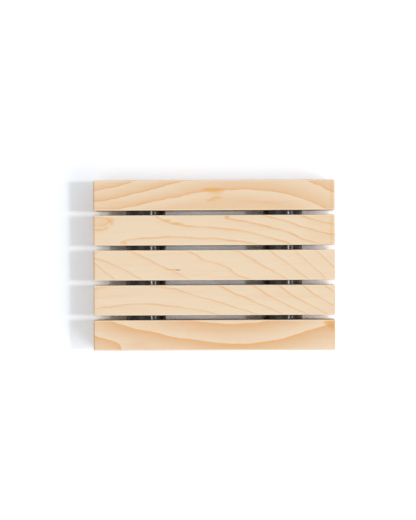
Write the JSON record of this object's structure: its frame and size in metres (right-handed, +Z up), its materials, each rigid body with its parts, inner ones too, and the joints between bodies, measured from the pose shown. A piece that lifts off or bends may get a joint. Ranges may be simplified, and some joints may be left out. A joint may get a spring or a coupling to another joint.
{
  "type": "soap dish",
  "caption": "Slatted wooden soap dish: straight maple slats with drainage gaps, spaced by black rubber discs that stand below as feet and clamped by hidden tie rods.",
  "frame": {"origin": "on the counter, under the middle of the dish", "axes": "+X along the slats to the right, +Y from front to rear, +Z up"},
  "size_m": [0.127, 0.0896, 0.0215],
  "materials": {
    "maple": "sanded smooth and oiled, satin",
    "black_rubber": "moulded, low gloss",
    "stainless_steel": "plain stainless"
  },
  "bodies": {
    "root": {"front_slat": "maple", "front_inner_slat": "maple", "middle_slat": "maple", "rear_inner_slat": "maple", "rear_slat": "maple", "left_front_plug": "maple", "left_rear_plug": "maple", "right_front_plug": "maple", "right_rear_plug": "maple", "left_disc_1": "black_rubber", "left_disc_2": "black_rubber", "left_disc_3": "black_rubber", "left_disc_4": "black_rubber", "right_disc_1": "black_rubber", "right_disc_2": "black_rubber", "right_disc_3": "black_rubber", "right_disc_4": "black_rubber", "left_tie_rod": "stainless_steel", "right_tie_rod": "stainless_steel", "left_front_nut": "stainless_steel", "left_rear_nut": "stainless_steel", "right_front_nut": "stainless_steel", "right_rear_nut": "stainless_steel", "left_front_washer": "stainless_steel", "left_rear_washer": "stainless_steel", "right_front_washer": "stainless_steel", "right_rear_washer": "stainless_steel"}
  },
  "joints": []
}
